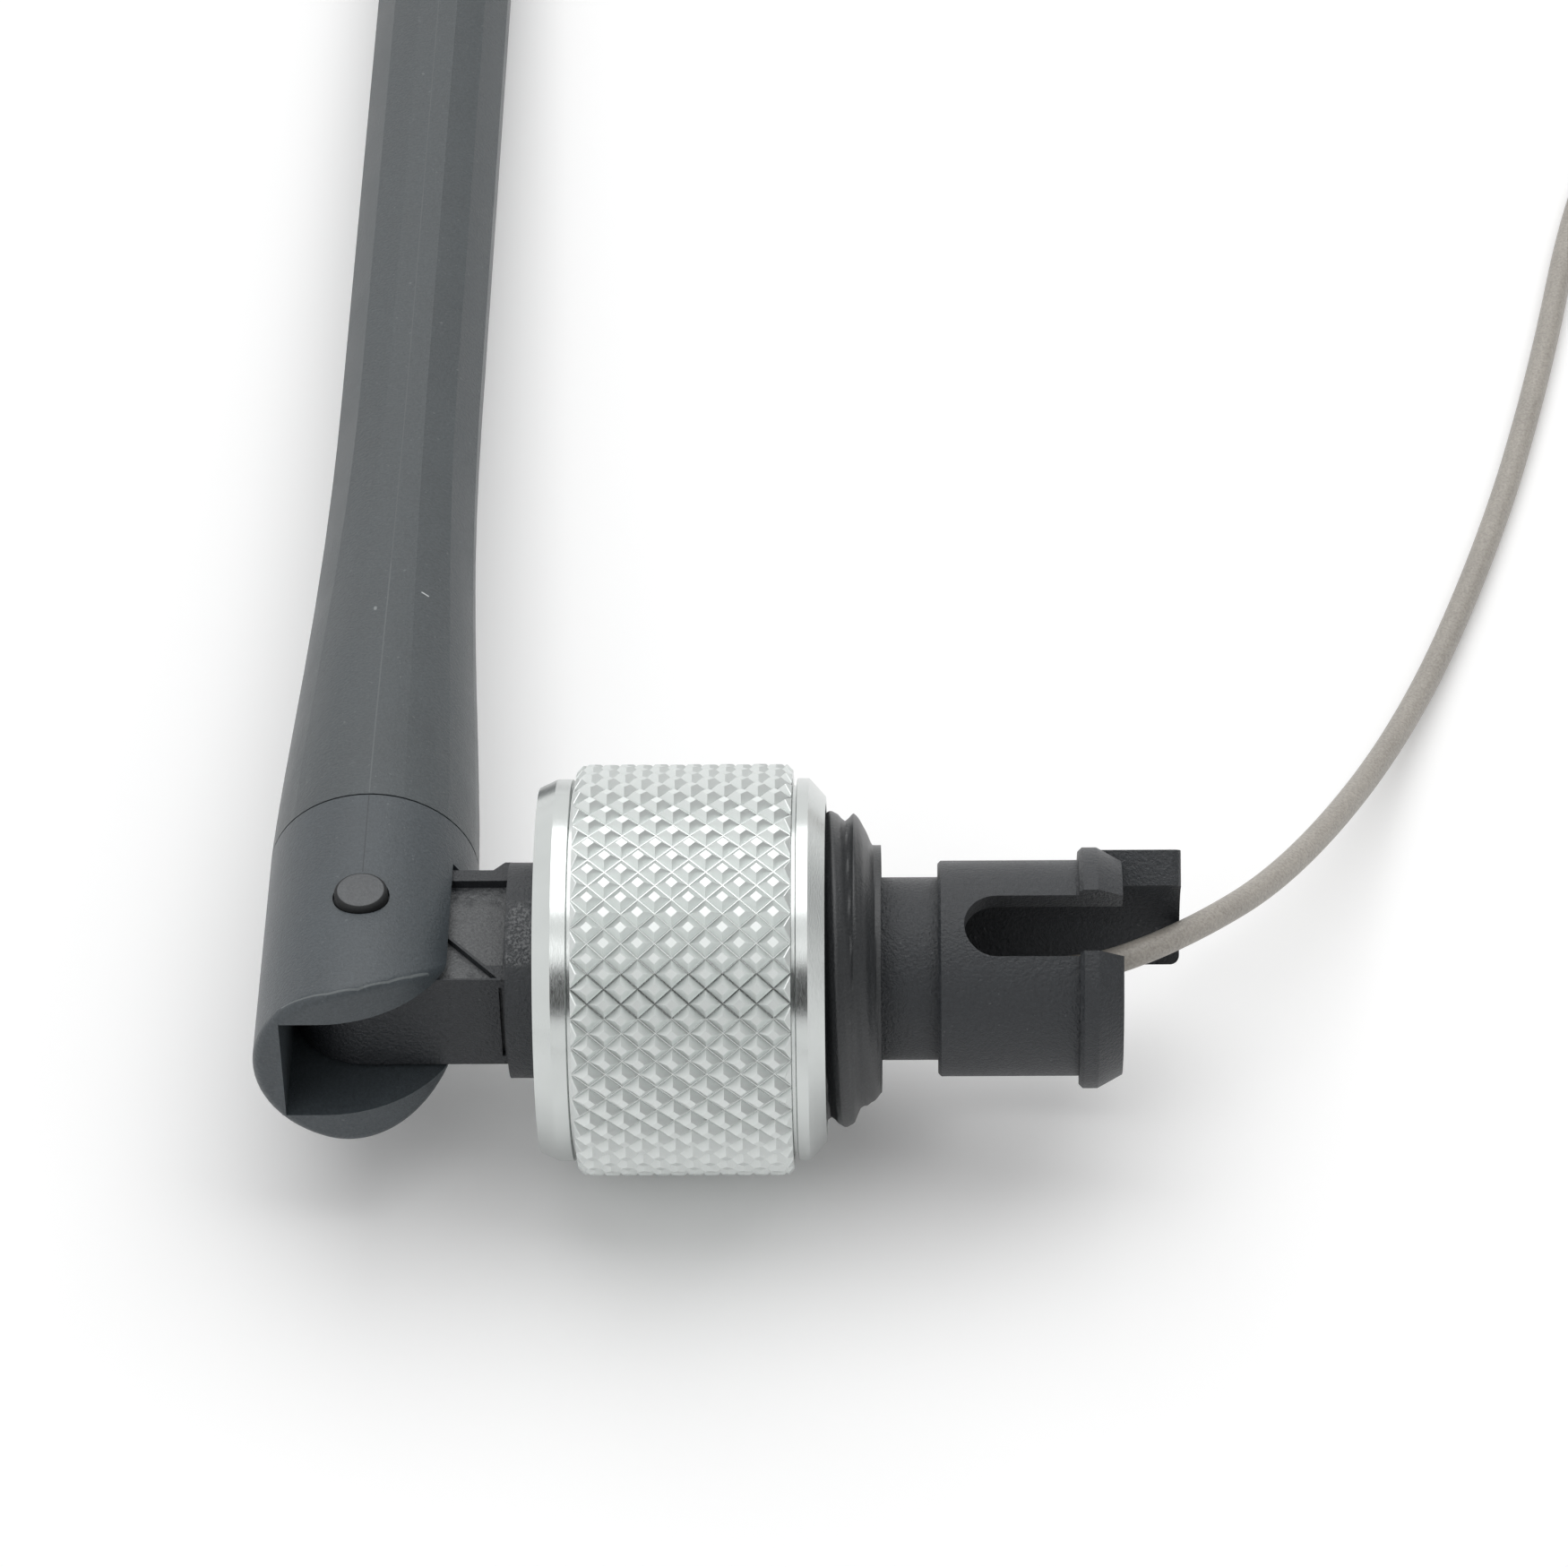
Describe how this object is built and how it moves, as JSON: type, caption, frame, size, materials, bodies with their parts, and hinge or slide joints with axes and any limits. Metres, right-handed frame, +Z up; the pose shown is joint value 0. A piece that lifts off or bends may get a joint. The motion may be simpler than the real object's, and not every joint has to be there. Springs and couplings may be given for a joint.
{
  "type": "folding controller antenna",
  "caption": "Folding antenna with a flattened blade on a hinge barrel, a knurled thumb screw, a slotted snap-in stem and a thin coaxial lead.",
  "frame": {"origin": "on the stem's axis, in the plane of the knurled ring's seat face, where the threaded boss begins", "axes": "+X along the stem from the hinge to the lead, +Z up, the blade towards +Y; the part lies on the ring, the blade's tip and the lead"},
  "size_m": [0.0882, 0.1159, 0.02],
  "materials": {
    "anodised_aluminium": "satin turned and knurled",
    "thread_plastic": "moulded",
    "stem_plastic": "fine moulded texture",
    "blade_plastic": "fine moulded texture",
    "barrel_plastic": "fine moulded texture",
    "pin_steel": "blackened, domed head",
    "board_laminate": "glass-fibre laminate",
    "copper_foil": "etched",
    "solder": "bright solder",
    "cable_jacket": "extruded, satin",
    "gold_plate": "plated",
    "plug_plastic": "moulded"
  },
  "bodies": {
    "stem": {"stem": "stem_plastic", "stem_cable": "cable_jacket", "antenna_lead": "cable_jacket", "lead_coil": "cable_jacket", "lead_tail": "cable_jacket", "plug_shell": "gold_plate", "plug_insulator": "plug_plastic", "plug_contact": "gold_plate"},
    "ring": {"knurled_ring": "anodised_aluminium", "screw_core": "thread_plastic"},
    "blade": {"hinge_barrel": "barrel_plastic", "pivot_pin_upper": "pin_steel", "pivot_pin_lower": "pin_steel", "blade_sleeve": "blade_plastic", "radiator_board": "board_laminate", "ground_element": "copper_foil", "radiating_element": "copper_foil", "blade_cable": "cable_jacket", "shield_solder": "solder", "feed_solder": "solder"}
  },
  "joints": [
    {"name": "ring_spin", "type": "hinge", "parent": "stem", "child": "ring", "pos_m": [0, 0, 0], "axis": [1, 0, 0], "continuous": true},
    {"name": "blade_fold", "type": "hinge", "parent": "stem", "child": "blade", "pos_m": [-0.02242, 0, 0], "axis": [0, 0.0656, 0.9978], "range_deg": [0, 90]}
  ]
}
